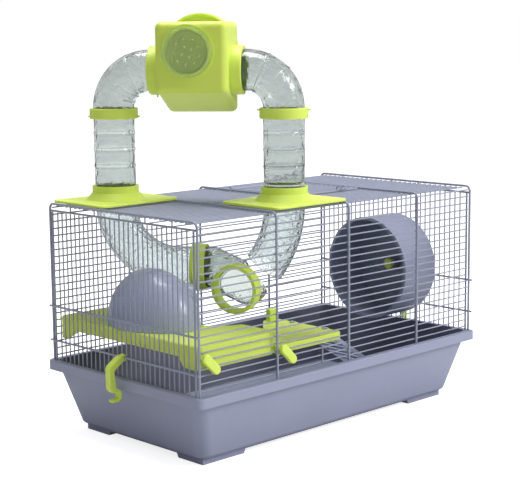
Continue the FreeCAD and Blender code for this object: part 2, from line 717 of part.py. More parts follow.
def arc_angle():
    """Turn of the right inner bend, from the roof to the tee, in degrees."""
    across = size("port_spacing") / 2 - size("tee_reach")
    down = size("tray_height") + size("wire_height") - 2.5 - size("tee_level")
    return 2 * math.degrees(math.atan2(across, down))


def make_inner_tubes():
    top = f"{ROOF} + plate_thickness - 0.5"
    start = f"{ROOF} - 2.5"
    level = f"({start} - inner_bend)"
    skins = (("outside", "tube_radius", 0), ("bore", "tube_radius - tube_wall", 1))
    left = {}
    for skin, radius, extra in skins:
        left[skin] = fuse(f"left_bend_{skin}", rod(f"left_bend_{skin}_top", radius,
                          f"{top} - ({start}) + {extra}", "-port_spacing / 2", 0, start),
                          bend(f"left_bend_{skin}_arc", "inner_bend", radius, "90",
                               "-port_spacing / 2 + inner_bend", 0, start, drop_turn(-1)),
                          rod(f"left_bend_{skin}_level", radius,
                              f"port_spacing / 2 - inner_bend - 4 + {extra}",
                              "-port_spacing / 2 + inner_bend", 0, level, "x"))
    node(on_run(cut("left_inner_bend", left["outside"], left["bore"])), "left_inner_bend")
    ring = rod("inner_ring_barrel", "inner_ring_radius", "inner_ring_width", "inner_ring_start", 0, level,
               "x")
    flange = rod("inner_ring_flange", "inner_ring_radius + 1.5", 5, "inner_ring_start", 0, level, "x")
    ring_solid = fuse("inner_ring_solid", ring, flange)
    ring_soft = rounded("inner_ring_soft", ring_solid, 0.7, lambda edge: edge.BoundBox.XLength < 0.01)
    ring_bore = rod("inner_ring_bore", "tube_radius + 0.1", "inner_ring_width + 4", "inner_ring_start - 2", 0,
                    level, "x")
    node(on_run(cut("inner_joint_ring", ring_soft, ring_bore)), "inner_joint_ring")
    make_right_bend(top, start, skins)
    make_tee(level, start, skins)


def make_right_bend(top, start, skins):
    """Long bend from the right port, stopped a little before the tee."""
    radius_text = long_bend_radius()
    right = {}
    for skin, radius, extra in skins:
        right[skin] = fuse(f"right_bend_{skin}", rod(f"right_bend_{skin}_top", radius,
                           f"{top} - ({start}) + {extra}", "port_spacing / 2", 0, start),
                           bend(f"right_bend_{skin}_arc", radius_text, radius,
                                f"{arc_angle() - size('tee_rise') - 0.5 + extra:.4f}",
                                f"port_spacing / 2 - {radius_text}", 0, start, drop_turn(1)))
    node(on_run(cut("right_inner_bend", right["outside"], right["bore"])), "right_inner_bend")


def long_bend_radius():
    down = size("tray_height") + size("wire_height") - 2.5 - size("tee_level")
    return f"{down / math.sin(math.radians(arc_angle())):.4f}"


def make_tee(level, start, skins):
    """Clear tee: a stub in the ring, a sloping run, the outlet and a stub up to the right bend."""
    knee = Vector(14, 0, size("tray_height") + size("wire_height") - 2.5 - size("inner_bend"))
    tee = Vector(size("tee_reach"), 0, size("tee_level"))
    slope = tee - knee
    outlet_angle = math.radians(size("outlet_turn") - size("arch_turn"))
    outlet = Vector(math.cos(outlet_angle), math.sin(outlet_angle), 0)
    radius_text = long_bend_radius()
    tee_parts = {}
    for skin, radius, extra in skins:
        ball_knee = doc.addObject("Part::Sphere", f"tee_{skin}_knee")
        bind(ball_knee, Radius=f"{radius} + 0.4")
        place(ball_knee, knee.x, 0, level)
        ball = doc.addObject("Part::Sphere", f"tee_{skin}_ball")
        bind(ball, Radius=f"{radius} + 0.4")
        place(ball, "tee_reach", 0, "tee_level")
        start_x = 3.5 + 10 * extra
        stub = rod(f"tee_{skin}_stub", radius, f"{knee.x} + {start_x}", -start_x, 0, level, "x")
        run = rod(f"tee_{skin}_run", radius, f"{slope.Length:.4f}", knee.x, 0, level,
                  Rotation(Vector(0, 0, 1), slope))
        mouth = rod(f"tee_{skin}_mouth", radius, f"outlet_reach - 2 + {2 * extra}", "tee_reach", 0,
                    "tee_level", Rotation(Vector(0, 0, 1), outlet))
        rise = bend(f"tee_{skin}_rise", radius_text, radius, f"tee_rise + {extra}",
                    f"port_spacing / 2 - {radius_text}", 0, start,
                    drop_turn(1, arc_angle() - size("tee_rise") - extra))
        tee_parts[skin] = [stub, ball_knee, run, ball, mouth, rise]
    hollowed = fuse("tee_outside", *tee_parts["outside"])
    for i, tool in enumerate(tee_parts["bore"], start=1):
        hollowed = cut(f"tee_hollowed_{i}", hollowed, tool)
    node(on_run(hollowed), "inner_tee")
    ring_turn = Rotation(Vector(0, 0, 1), outlet)
    back = size("outlet_reach") - size("outlet_depth")
    ring = rod("outlet_ring_barrel", "outlet_radius", "outlet_depth",
               f"tee_reach + {back * outlet.x:.4f}", f"{back * outlet.y:.4f}", "tee_level", ring_turn)
    ring_soft = rounded("outlet_ring_soft", ring, 1.2, lambda edge: edge.Length > 20 * size("tube_wall"))
    bore = rod("outlet_ring_bore", "tube_radius + 0.1", "outlet_depth + 6",
               f"tee_reach + {(back - 3) * outlet.x:.4f}", f"{(back - 3) * outlet.y:.4f}", "tee_level",
               ring_turn)
    saddle = rod("outlet_ring_saddle", "tube_radius + 0.1", f"{slope.Length:.4f}", knee.x, 0, level,
                 Rotation(Vector(0, 0, 1), slope))
    seat = doc.addObject("Part::Sphere", "outlet_ring_seat")
    bind(seat, Radius="tube_radius + 0.5")
    place(seat, "tee_reach", 0, "tee_level")
    ring_bored = cut("outlet_ring_bored", ring_soft, bore)
    ring_saddled = cut("outlet_ring_saddled", ring_bored, saddle)
    node(on_run(cut("outlet_ring", ring_saddled, seat)), "outlet_ring")


# --- Shelves -----------------------------------------------------------------------------------

def clip_places():
    """X and Z of the two twist clips: between front wires, near the left end of each shelf."""
    first = size("tray_height") + size("first_wire")
    pitch = size("wire_pitch")
    return {"upper": (-234.3, first + 3.5 * pitch), "lower": (-110.0, first + 2.5 * pitch)}


def clip_hole(word):
    x, z = clip_places()[word]
    return rod(f"{word}_shelf_clip_hole", 3.2, 8, x, "-cage_width / 2 + 5", z, "y")


def make_upper_shelf():
    """Table along the left end: rounded top, skirt, arched left side and a round bay on the right."""
    left, right, front, back = -244.0, -121.0, -132.0, 132.0
    drop = size("upper_shelf_drop")
    top = size("upper_shelf_top")
    wall = size("shelf_wall")
    outer = box("upper_shelf_block", right - left, back - front, "upper_shelf_drop", left, front,
                "upper_shelf_top - upper_shelf_drop")
    outer_round = rounded("upper_shelf_round", outer, 8.0, upright)
    outer_soft = rounded("upper_shelf_soft", outer_round, 2.0, at_level(top))
    inner = box("upper_shelf_inner", right - left - 2 * wall, back - front - 2 * wall,
                "upper_shelf_drop - shelf_wall + 5", left + wall, front + wall,
                "upper_shelf_top - upper_shelf_drop - 5")
    inner_round = rounded("upper_shelf_inner_round", inner, 8.0 - wall, upright)
    bay = rod("upper_shelf_bay", 44, 60, -118, -32, "upper_shelf_top - 40")
    arch = polygon_pad("upper_shelf_arch", [(-107, top - drop - 1), (-97, top - 15.5), (93, top - 15.5),
                                            (118, top - drop - 1)], 20, "YZ_Plane", drop=0)
    place(arch, left - 10)
    side_cut = box("upper_shelf_side_cut", 30, back - front - 30, "upper_shelf_drop - 12", right - 10,
                   front + 30, "upper_shelf_top - upper_shelf_drop - 0.5")
    back_cut = box("upper_shelf_back_cut", right - left - 40, 30, "upper_shelf_drop - 12", left + 20,
                   back - 10, "upper_shelf_top - upper_shelf_drop - 0.5")
    node(cut("upper_shelf", outer_soft, inner_round, bay, arch, side_cut, back_cut, clip_hole("upper")),
         "upper_shelf")


def make_lower_shelf():
    """Landing beside it: a five-sided top with a low skirt, a post, and pins for the ladder."""
    outline = [(-118.5, -132.0), (-4.0, -132.0), (-4.0, -22.0), (-26.0, -14.0), (-85.0, -74.0),
               (-118.5, -74.0)]
    wall = size("shelf_wall")
    inner_outline = [(-118.5 + wall, -132.0 + wall), (-4.0 - wall, -132.0 + wall), (-4.0 - wall, -23.6),
                     (-25.4, -15.9 - wall / 2), (-84.0, -74.0 - wall), (-118.5 + wall, -74.0 - wall)]
    outer = polygon_pad("lower_shelf_block", outline, "lower_shelf_drop",
                        drop="lower_shelf_top - lower_shelf_drop")
    outer_round = rounded("lower_shelf_round", outer, 4.0, upright)
    outer_soft = rounded("lower_shelf_soft", outer_round, 1.4, at_level(size("lower_shelf_top")))
    inner = polygon_pad("lower_shelf_inner", inner_outline, "lower_shelf_drop - shelf_wall + 2",
                        drop="lower_shelf_top - lower_shelf_drop - 2")
    post = box("lower_shelf_post", 13, 8, "lower_shelf_drop + 16", -26, -27,
               "lower_shelf_top - lower_shelf_drop")
    post_soft = rounded("lower_shelf_post_soft", post, 1.6, lambda edge: edge.BoundBox.ZMax > 130)
    slots = []
    pins = []
    for word, y in (("near", "ladder_near"), ("far", "ladder_far")):
        slots.append(box(f"ladder_slot_{word}", 20, 7.4, "lower_shelf_drop + 4", "ladder_pivot - 6",
                         f"{y} - 3.7", "lower_shelf_top - lower_shelf_drop - 2"))
        pins.append(rod(f"ladder_pin_{word}", "ladder_pin", 9.4, "ladder_pivot", f"{y} - 4.7",
                        "lower_shelf_top - 3", "y"))
    shell = cut("lower_shelf_shell", outer_soft, inner, clip_hole("lower"), *slots)
    cheeks = []
    for word, y in (("near", "ladder_near"), ("far", "ladder_far")):
        for side, shift in (("a", "- 5.6"), ("b", "+ 3.7")):
            cheeks.append(box(f"ladder_cheek_{word}_{side}", 8, 1.9, "lower_shelf_drop",
                              "ladder_pivot - 5.7", f"{y} {shift}", "lower_shelf_top - lower_shelf_drop"))
    node(fuse("lower_shelf", shell, post_soft, *cheeks, *pins), "lower_shelf")


def make_ladder():
    """Two side rails with rungs; an eye at the top of each rail turns on the shelf's pin."""
    slope = Rotation(Vector(0, 1, 0), size("ladder_slope"))
    down = slope.multVec(Vector(1, 0, 0))
    above = slope.multVec(Vector(0, 0, 1))
    pivot_z = "lower_shelf_top - 3"
    rail_height = 5.0
    pieces = []
    eyes = []
    for word, y in (("near", "ladder_near"), ("far", "ladder_far")):
        start = 2.6
        rail = box(f"ladder_rail_{word}", f"ladder_length - {start}", 3, rail_height,
                   f"ladder_pivot + {start * down.x - rail_height / 2 * above.x:.4f}", f"{y} - 1.5",
                   f"{pivot_z} + {start * down.z - rail_height / 2 * above.z:.4f}", slope)
        pieces.append(rail)
        pieces.append(rod(f"ladder_eye_{word}", 4.6, 6, "ladder_pivot", f"{y} - 3", pivot_z, "y"))
        eyes.append(rod(f"ladder_eye_hole_{word}", "ladder_pin + joint_gap", 8, "ladder_pivot",
                        f"{y} - 4", pivot_z, "y"))
    pitch = 15.5
    for i in range(12):
        along = 14 + i * pitch
        pieces.append(rod(f"ladder_rung_{i + 1}", 1.7, "ladder_far - ladder_near",
                          f"ladder_pivot + {along * down.x:.4f}", "ladder_near",
                          f"{pivot_z} + {along * down.z:.4f}", "y"))
    node(cut("ladder", fuse("ladder_solid", *pieces), *eyes), "ladder")


def make_house():
    """Oval dome with a collared doorway in its right side."""
    floor = "upper_shelf_top + joint_gap"
    domes = {}
    for skin, less in (("outside", "0"), ("inside", "house_wall")):
        dome = doc.addObject("Part::Ellipsoid", f"house_{skin}")
        bind(dome, Radius1=f"house_height - {less}", Radius2=f"house_half_width - {less}",
             Radius3=f"house_half_length - {less}", Angle1="0", Angle2="90", Angle3="360")
        domes[skin] = place(dome, "house_x", "house_y", floor)
    door_turn = Rotation(Vector(0, 0, 1), Vector(math.cos(math.radians(-24)),
                                                 math.sin(math.radians(-24)), 0))
    collar = rod("house_door_collar", 22, 50, "house_x", "house_y", f"{floor} + 25", door_turn)
    doorway = rod("house_doorway", 20, 70, "house_x", "house_y", f"{floor} + 25", door_turn)
    sill = box("house_sill_cut", 200, 200, 40, "house_x - 100", "house_y - 100", f"{floor} - 40")
    solid = fuse("house_solid", domes["outside"], collar)
    node(cut("house", solid, domes["inside"], doorway, sill), "house")


# --- Wheel -------------------------------------------------------------------------------------

def make_wheel():
    """Solid drum open to the left, its axle and bracket on the right end, and the hub cap."""
    back = "wheel_open + wheel_depth"
    drum = rod("wheel_drum_outside", "wheel_radius", "wheel_depth", "wheel_open", "wheel_y",
               "wheel_level", "x")
    drum_soft = rounded("wheel_drum_soft", drum, 2.0,
                        lambda edge: edge.BoundBox.XLength < 0.01 and edge.BoundBox.XMin > 200)
    room = rod("wheel_drum_room", "wheel_radius - wheel_wall", "wheel_depth", f"wheel_open - wheel_wall",
               "wheel_y", "wheel_level", "x")
    boss = rod("wheel_boss", 9, 13, f"{back} - 14", "wheel_y", "wheel_level", "x")
    bore = rod("wheel_bore", "axle_radius + axle_gap", 30, f"{back} - 20", "wheel_y", "wheel_level", "x")
    lip = rod("wheel_lip", "wheel_radius", 2.4, "wheel_open", "wheel_y", "wheel_level", "x")
    lip_room = rod("wheel_lip_room", "wheel_radius - 4", 6, "wheel_open - 2", "wheel_y", "wheel_level", "x")
    shell = cut("wheel_shell", drum_soft, room)
    solid = fuse("wheel_solid", shell, boss, cut("wheel_lip_ring", lip, lip_room))
    node(cut("wheel_drum", solid, bore), "wheel_drum")
    inner_end = f"{back} - 16"
    axle = rod("wheel_axle_pin", "axle_radius", f"cage_length / 2 - 4 - ({inner_end})", inner_end, "wheel_y",
               "wheel_level", "x")
    shoulder = rod("wheel_axle_shoulder", 8, f"cage_length / 2 - 5 - ({back} + 0.6)", f"{back} + 0.6",
                   "wheel_y", "wheel_level", "x")
    node(fuse("wheel_axle", axle, shoulder), "wheel_axle")
    cap = rod("wheel_cap_disc", 7.5, 5, f"{inner_end} - 3.5", "wheel_y", "wheel_level", "x")
    cap_soft = rounded("wheel_cap_soft", cap, 1.4,
                       lambda edge: edge.BoundBox.XLength < 0.01 and edge.BoundBox.XMin < 220)
    socket = rod("wheel_cap_socket", "axle_radius", 5, inner_end, "wheel_y", "wheel_level", "x")
    node(cut("wheel_hub_cap", cap_soft, socket), "wheel_hub_cap")
    plate = box("wheel_bracket_plate", 3, 52, 56, "cage_length / 2 - 5", "wheel_y - 26",
                "wheel_level - 28")
    plate_soft = rounded("wheel_bracket_soft", plate, 8.0,
                         lambda edge: edge.BoundBox.YLength < 0.01 and edge.BoundBox.ZLength < 0.01)
    hub = rod("wheel_bracket_hub", "axle_radius", 4, "cage_length / 2 - 8", "wheel_y", "wheel_level", "x")
    tabs = []
    for i, (y, z) in enumerate(((-1.5, 20), (-3.5, 20), (-1.5, -20), (-3.5, -20))):
        tabs.append(rod(f"wheel_bracket_peg_{i + 1}", 2.2, 5.2, "cage_length / 2 - 3", f"{y} * end_pitch",
                        f"wheel_level + {z}", "x"))
        tabs.append(rod(f"wheel_bracket_button_{i + 1}", 4.5, 2, "cage_length / 2 + 0.4",
                        f"{y} * end_pitch", f"wheel_level + {z}", "x"))
    node(cut("wheel_bracket", fuse("wheel_bracket_solid", plate_soft, *tabs), hub), "wheel_bracket")


# --- Clips and latches -------------------------------------------------------------------------

def make_clips():
    """Twist clips: an oval head outside the front wires and a bar behind the shelf's front."""
    tilt = Rotation(Vector(0, 1, 0), size("clip_tilt"))
    for word, (x, z) in clip_places().items():
        half = size("clip_length") / 2
        end = size("clip_width") / 2
        head_y = "-(cage_width / 2 + 5.6)"
        corner = tilt.multVec(Vector(-(half - end), 0, -end))
        block = box(f"{word}_clip_block", "clip_length - clip_width", 5.2, "clip_width",
                    x + corner.x, head_y, z + corner.z, tilt)
        ends = []
        for side in (-1, 1):
            spot = tilt.multVec(Vector(side * (half - end), 0, 0))
            ends.append(rod(f"{word}_clip_end_{side + 2}", "clip_width / 2", 5.2, x + spot.x, head_y,
                            z + spot.z, "y"))
        oval = fuse(f"{word}_clip_oval", block, *ends)
        oval_soft = rounded(f"{word}_clip_oval_soft", oval, 1.6,
                            lambda edge: edge.BoundBox.YLength < 0.01
                            and edge.BoundBox.YMin < -size("cage_width") / 2 - 5)
        stem = rod(f"{word}_clip_stem", 2.9, 17, x, "-(cage_width / 2 + 1)", z, "y")
        bar_length, bar_height = 10.5, 4.8
        bar_corner = tilt.multVec(Vector(-bar_length / 2, 0, -bar_height / 2))
        bar = box(f"{word}_clip_bar", bar_length, 2.6, bar_height, x + bar_corner.x,
                  "-(cage_width / 2 - 13.6)", z + bar_corner.z, tilt)
        node(fuse(f"{word}_shelf_clip", oval_soft, stem, bar), f"{word}_shelf_clip")


def make_latches():
    """One latch on the low rail of each end, with its hook beside the rim and a finger lip."""
    outline = [
        (-6.0, 29.2), (-11.0, 27.6), (-23.5, 19.0), (-25.5, 15.0), (-25.0, -9.0), (-21.0, -13.6),
        (-14.0, -15.4), (-10.8, -17.2), (-10.8, -20.4), (-13.4, -22.2), (-21.0, -22.6), (-21.4, -25.6),
        (-12.4, -26.0), (-7.8, -23.2), (-7.0, -14.6), (-10.2, -11.4), (-15.6, -9.0), (-17.0, 3.0),
        (-18.0, 12.0), (-9.4, 18.4), (-6.0, 20.6),
    ]
    neck_low, neck_high = 21.8, 29.6
    for word, side in SIDES:
        flip = -side
        points = [(f"{flip * (x - 250):.2f}", f"tray_height + {z}") for x, z in outline]
        arm = polygon_pad(f"{word}_latch_arm", points, "latch_width", "XZ_Plane", middle=True)
        place(arm, y="latch_y + 0.65")
        arm_soft = rounded(f"{word}_latch_arm_soft", arm, 0.9,
                           lambda edge: edge.BoundBox.YLength < 0.01 and edge.Length > 3)
        rail_x = f"{side} * (cage_length / 2 + rail_wire / 2)"
        rail_z = "tray_height + low_rail"
        eye = rod(f"{word}_latch_eye", 4.2, "end_pitch - thin_wire - 0.7", rail_x,
                  "latch_y + 0.65 - (end_pitch - thin_wire - 0.7) / 2", rail_z, "y")
        neck = box(f"{word}_latch_neck", 7, "end_pitch - thin_wire - 0.7", neck_high - neck_low,
                   "cage_length / 2 + 1" if side > 0 else "-(cage_length / 2 + 8)",
                   "latch_y + 0.65 - (end_pitch - thin_wire - 0.7) / 2", f"tray_height + {neck_low}")
        hole = rod(f"{word}_latch_hole", "rail_wire / 2 + joint_gap", 20, rail_x, "latch_y - 10", rail_z, "y")
        solid = fuse(f"{word}_latch_solid", arm_soft, eye, neck)
        node(cut(f"{word}_base_latch", solid, hole), f"{word}_base_latch")


# --- Build, check and write --------------------------------------------------------------------

def build():
    make_tray()
    make_hoops()
    make_long_panels()
    make_roof()
    make_ends()
    make_roof_door()
    make_port_plates()
    make_upper_tubes()
    make_nest_box()
    make_inner_tubes()
    make_upper_shelf()
    make_lower_shelf()
    make_ladder()
    make_house()
    make_wheel()
    make_clips()
    make_latches()


def check():
    """Stop unless every object recomputed and every sub-part is a valid solid."""
    doc.recompute()
    faults = [item.Name for item in doc.Objects if {"Invalid", "Error"} & set(item.State)]
    for item in NODES:
        shape = item.Shape
        if shape.isNull() or not shape.isValid() or not shape.Solids:
            faults.append(f"{item.Label}: bad shape")
    if faults:
        raise RuntimeError("not built: " + ", ".join(faults))


def write():
    os.makedirs("parts", exist_ok=True)
    for item in NODES:
        item.Shape.exportStep(os.path.join("parts", item.Label + ".step"))
        size_box = item.Shape.BoundBox
        print(f"{item.Label}: {len(item.Shape.Solids)} solid(s), x {size_box.XMin:.1f}..{size_box.XMax:.1f}, "
              f"y {size_box.YMin:.1f}..{size_box.YMax:.1f}, z {size_box.ZMin:.1f}..{size_box.ZMax:.1f}")


build()
check()
write()
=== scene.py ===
"""Looks of the hamster cage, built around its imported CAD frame. Lengths are metres, as in the frame."""

import json
import math

import bmesh
import bpy
from mathutils import Euler, Matrix, Vector, noise


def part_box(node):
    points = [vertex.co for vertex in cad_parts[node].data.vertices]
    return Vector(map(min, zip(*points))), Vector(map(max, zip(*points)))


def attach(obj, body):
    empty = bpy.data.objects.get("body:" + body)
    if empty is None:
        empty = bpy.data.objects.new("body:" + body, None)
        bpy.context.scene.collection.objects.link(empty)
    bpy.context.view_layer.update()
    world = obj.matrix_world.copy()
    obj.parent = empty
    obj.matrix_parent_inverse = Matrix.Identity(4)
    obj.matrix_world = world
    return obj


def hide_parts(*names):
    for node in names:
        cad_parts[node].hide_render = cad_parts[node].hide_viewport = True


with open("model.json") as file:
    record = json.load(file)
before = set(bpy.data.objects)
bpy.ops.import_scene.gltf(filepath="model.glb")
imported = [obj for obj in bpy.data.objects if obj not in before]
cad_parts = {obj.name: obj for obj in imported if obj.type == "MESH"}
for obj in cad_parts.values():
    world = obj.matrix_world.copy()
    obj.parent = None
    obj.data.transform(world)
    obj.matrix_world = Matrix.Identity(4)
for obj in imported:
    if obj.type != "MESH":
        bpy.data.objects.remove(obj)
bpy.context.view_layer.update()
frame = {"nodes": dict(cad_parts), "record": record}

MM = 0.001

# --- Camera, light and floor ---------------------------------------------------------------------

CAMERA_PLACE = Vector((-1.2431, -1.2611, 0.4952))
CAMERA_YAW = 44.209            # degrees from +Y towards +X
CAMERA_PITCH = 8.476           # degrees below level
CAMERA_ROLL = -0.578
CAMERA_LENS = 94.32            # millimetres on a 36 mm wide sensor
SKY_DIM = 0.28                 # light from the dark side of the studio
SKY_BRIGHT = 0.74              # light from the bright side
BRIGHT_SIDE = (0.72, -0.62, 0.30)
BACKGROUND = 1.0               # what the camera sees behind everything
FLOOR_HALF = 14.0
FLOOR_GREYS = (0.66, 0.70)
FLOOR_GLOW = 0.80              # lifts the floor to white for the camera
KEY_PLACE, KEY_TARGET, KEY_SIDE, KEY_POWER = (1.3, -2.6, 1.9), (0, 0, 0.2), 1.0, 56
KEY_COLOUR = (1.0, 0.995, 0.985)
TOP_PLACE, TOP_TARGET, TOP_SIDE, TOP_POWER = (0.2, 0.3, 2.6), (0, 0, 0.3), 1.4, 56


def make_camera():
    camera = bpy.data.objects.new("camera", bpy.data.cameras.new("camera"))
    camera.data.lens = CAMERA_LENS
    camera.data.sensor_width = 36.0
    camera.data.clip_end = 60.0
    camera.location = CAMERA_PLACE
    turn = Euler((math.radians(90 - CAMERA_PITCH), 0, math.radians(-CAMERA_YAW))).to_matrix()
    roll = Matrix.Rotation(math.radians(CAMERA_ROLL), 3, "Z")
    camera.rotation_euler = (turn @ roll).to_euler()
    bpy.context.scene.collection.objects.link(camera)
    bpy.context.scene.camera = camera


def area_light(name, place, target, side, power, colour=(1, 1, 1)):
    """Square lamp at a place, turned towards a target."""
    light = bpy.data.lights.new(name, "AREA")
    light.shape = "RECTANGLE"
    light.size = light.size_y = side
    light.energy = power
    light.color = colour
    lamp = bpy.data.objects.new(name, light)
    lamp.location = place
    lamp.rotation_euler = (Vector(target) - Vector(place)).to_track_quat("-Z", "Y").to_euler()
    bpy.context.scene.collection.objects.link(lamp)


def seen_share(nodes, links):
    """1 for rays from the camera, straight or through clear plastic, and 0 for light."""
    path = nodes.new("ShaderNodeLightPath")
    either = nodes.new("ShaderNodeMath")
    either.operation = "MAXIMUM"
    links.new(path.outputs["Is Camera Ray"], either.inputs[0])
    links.new(path.outputs["Is Transmission Ray"], either.inputs[1])
    return either.outputs[0]


def make_world():
    """Soft light, brighter from the right and the front, and white where it is seen."""
    world = bpy.data.worlds.new("studio")
    bpy.context.scene.world = world
    world.use_nodes = True
    nodes, links = world.node_tree.nodes, world.node_tree.links
    nodes.clear()
    output = nodes.new("ShaderNodeOutputWorld")
    mix = nodes.new("ShaderNodeMixShader")
    place = nodes.new("ShaderNodeTexCoord")
    side = nodes.new("ShaderNodeVectorMath")
    side.operation = "DOT_PRODUCT"
    side.inputs[1].default_value = BRIGHT_SIDE
    links.new(place.outputs["Generated"], side.inputs[0])
    ramp = nodes.new("ShaderNodeMapRange")
    ramp.inputs["From Min"].default_value = -1.0
    ramp.inputs["To Min"].default_value = SKY_DIM
    ramp.inputs["To Max"].default_value = SKY_BRIGHT
    links.new(side.outputs["Value"], ramp.inputs["Value"])
    sky = nodes.new("ShaderNodeBackground")
    links.new(ramp.outputs[0], sky.inputs["Strength"])
    links.new(sky.outputs[0], mix.inputs[1])
    seen = nodes.new("ShaderNodeBackground")
    seen.inputs["Color"].default_value = (1.0, 1.0, 1.0, 1.0)
    seen.inputs["Strength"].default_value = BACKGROUND
    links.new(seen.outputs[0], mix.inputs[2])
    links.new(seen_share(nodes, links), mix.inputs[0])
    links.new(mix.outputs[0], output.inputs[0])


def make_floor():
    """Pale floor whose glow is seen but lights nothing."""
    mesh = bpy.data.meshes.new("floor")
    signs = ((-1, -1), (1, -1), (1, 1), (-1, 1))
    mesh.from_pydata([(x * FLOOR_HALF, y * FLOOR_HALF, 0) for x, y in signs], [], [(0, 1, 2, 3)])
    floor = bpy.data.objects.new("floor", mesh)
    bpy.context.scene.collection.objects.link(floor)
    finish = new_material("pale_floor")
    shader = finish.node_tree.nodes["Principled BSDF"]
    speckle = noise_node(finish, 9.0, 3.0)
    tint = mix_colours(finish, speckle, *((grey, grey, grey) for grey in FLOOR_GREYS))
    finish.node_tree.links.new(tint, shader.inputs["Base Color"])
    shader.inputs["Roughness"].default_value = 0.7
    shader.inputs["Emission Color"].default_value = (1.0, 1.0, 1.0, 1.0)
    nodes, links = finish.node_tree.nodes, finish.node_tree.links
    glow = nodes.new("ShaderNodeMapRange")
    glow.inputs["To Max"].default_value = FLOOR_GLOW
    links.new(seen_share(nodes, links), glow.inputs["Value"])
    links.new(glow.outputs[0], shader.inputs["Emission Strength"])
    mesh.materials.append(finish)


def make_studio():
    make_world()
    make_floor()
    area_light("key", KEY_PLACE, KEY_TARGET, KEY_SIDE, KEY_POWER, KEY_COLOUR)
    area_light("top", TOP_PLACE, TOP_TARGET, TOP_SIDE, TOP_POWER)


# --- Materials -----------------------------------------------------------------------------------

def new_material(name):
    finish = bpy.data.materials.new(name)
    finish.use_nodes = True
    return finish


def noise_node(finish, scale, detail):
    """Noise in object space; returns its factor."""
    nodes, links = finish.node_tree.nodes, finish.node_tree.links
    place = nodes.new("ShaderNodeTexCoord")
    pattern = nodes.new("ShaderNodeTexNoise")
    pattern.inputs["Scale"].default_value = scale
    pattern.inputs["Detail"].default_value = detail
    links.new(place.outputs["Object"], pattern.inputs["Vector"])
    return pattern.outputs[0]


def mix_colours(finish, factor, low, high):
    nodes, links = finish.node_tree.nodes, finish.node_tree.links
    mix = nodes.new("ShaderNodeMix")
    mix.data_type = "RGBA"
    mix.inputs[6].default_value = (*low, 1)
    mix.inputs[7].default_value = (*high, 1)
    links.new(factor, mix.inputs[0])
    return mix.outputs[2]


def shades(colour, *factors):
    """The colour made darker or lighter by each factor."""
    return [tuple(min(1.0, channel * factor) for channel in colour) for factor in factors]


def spread(finish, factor, low, high):
    """Noise factor stretched to a range of values."""
    nodes, links = finish.node_tree.nodes, finish.node_tree.links
    ramp = nodes.new("ShaderNodeMapRange")
    ramp.inputs["From Min"].default_value = 0.3
    ramp.inputs["From Max"].default_value = 0.7
    ramp.inputs["To Min"].default_value = low
    ramp.inputs["To Max"].default_value = high
    links.new(factor, ramp.inputs["Value"])
    return ramp.outputs[0]


def bump(finish, height, strength, distance, under=None):
    """Bump of a height in metres, over another bump where one is given; returns its normal."""
    nodes, links = finish.node_tree.nodes, finish.node_tree.links
    made = nodes.new("ShaderNodeBump")
    made.inputs["Strength"].default_value = strength
    made.inputs["Distance"].default_value = distance
    links.new(height, made.inputs["Height"])
    if under is not None:
        links.new(under, made.inputs["Normal"])
    return made.outputs[0]


def moulded_plastic(name, colour, roughness, grain=0.12, coat=0.0, glow=0.0, gloss=0.5):
    """Injection-moulded plastic: slow drift of tone, a fine grain, and slightly worn gloss.

    glow is the share of light that scatters inside, and gloss the strength of the reflection.
    """
    finish = new_material(name)
    links = finish.node_tree.links
    shader = finish.node_tree.nodes["Principled BSDF"]
    links.new(mix_colours(finish, noise_node(finish, 14.0, 3.0), *shades(colour, 0.95, 1.05)),
              shader.inputs["Base Color"])
    worn = noise_node(finish, 60.0, 4.0)
    links.new(spread(finish, worn, roughness - 0.05, roughness + 0.06), shader.inputs["Roughness"])
    swell = bump(finish, noise_node(finish, 22.0, 1.0), 0.10, 0.0012)
    links.new(bump(finish, noise_node(finish, 1500.0, 2.0), grain, 0.0002, swell), shader.inputs["Normal"])
    shader.inputs["IOR"].default_value = 1.5
    shader.inputs["Specular IOR Level"].default_value = gloss
    shader.inputs["Coat Weight"].default_value = coat
    shader.inputs["Coat Roughness"].default_value = 0.12
    shader.inputs["Subsurface Weight"].default_value = glow
    shader.inputs["Subsurface Radius"].default_value = (1.0, 1.0, 0.4)
    shader.inputs["Subsurface Scale"].default_value = 0.005
    return finish


def coated_wire(name, colour):
    """Steel wire under a powder coat, with its faint orange peel."""
    finish = new_material(name)
    links = finish.node_tree.links
    shader = finish.node_tree.nodes["Principled BSDF"]
    links.new(mix_colours(finish, noise_node(finish, 45.0, 3.0), *shades(colour, 0.9, 1.08)),
              shader.inputs["Base Color"])
    links.new(spread(finish, noise_node(finish, 300.0, 3.0), 0.30, 0.42), shader.inputs["Roughness"])
    links.new(bump(finish, noise_node(finish, 900.0, 2.0), 0.25, 0.0002), shader.inputs["Normal"])
    shader.inputs["Coat Weight"].default_value = 0.5
    shader.inputs["Coat Roughness"].default_value = 0.2
    return finish


def clear_plastic(name, tint, roughness, ripple, ripple_scale, clear=1.0):
    """Clear styrene: refracting walls with the ripples and flow marks of a thin moulding.

    clear is the share of light that passes; the rest lights the surface as in frosted plastic.
    """
    finish = new_material(name)
    links = finish.node_tree.links
    shader = finish.node_tree.nodes["Principled BSDF"]
    links.new(mix_colours(finish, noise_node(finish, 30.0, 3.0), *shades(tint, 0.96, 1.0)),
              shader.inputs["Base Color"])
    shader.inputs["Transmission Weight"].default_value = clear
    shader.inputs["IOR"].default_value = 1.45
    links.new(spread(finish, noise_node(finish, 80.0, 3.0), roughness * 0.5, roughness * 1.5),
              shader.inputs["Roughness"])
    slow = bump(finish, noise_node(finish, ripple_scale, 1.0), ripple, 0.002)
    links.new(bump(finish, noise_node(finish, ripple_scale * 4, 2.0), ripple * 0.5, 0.0008, slow),
              shader.inputs["Normal"])
    return finish


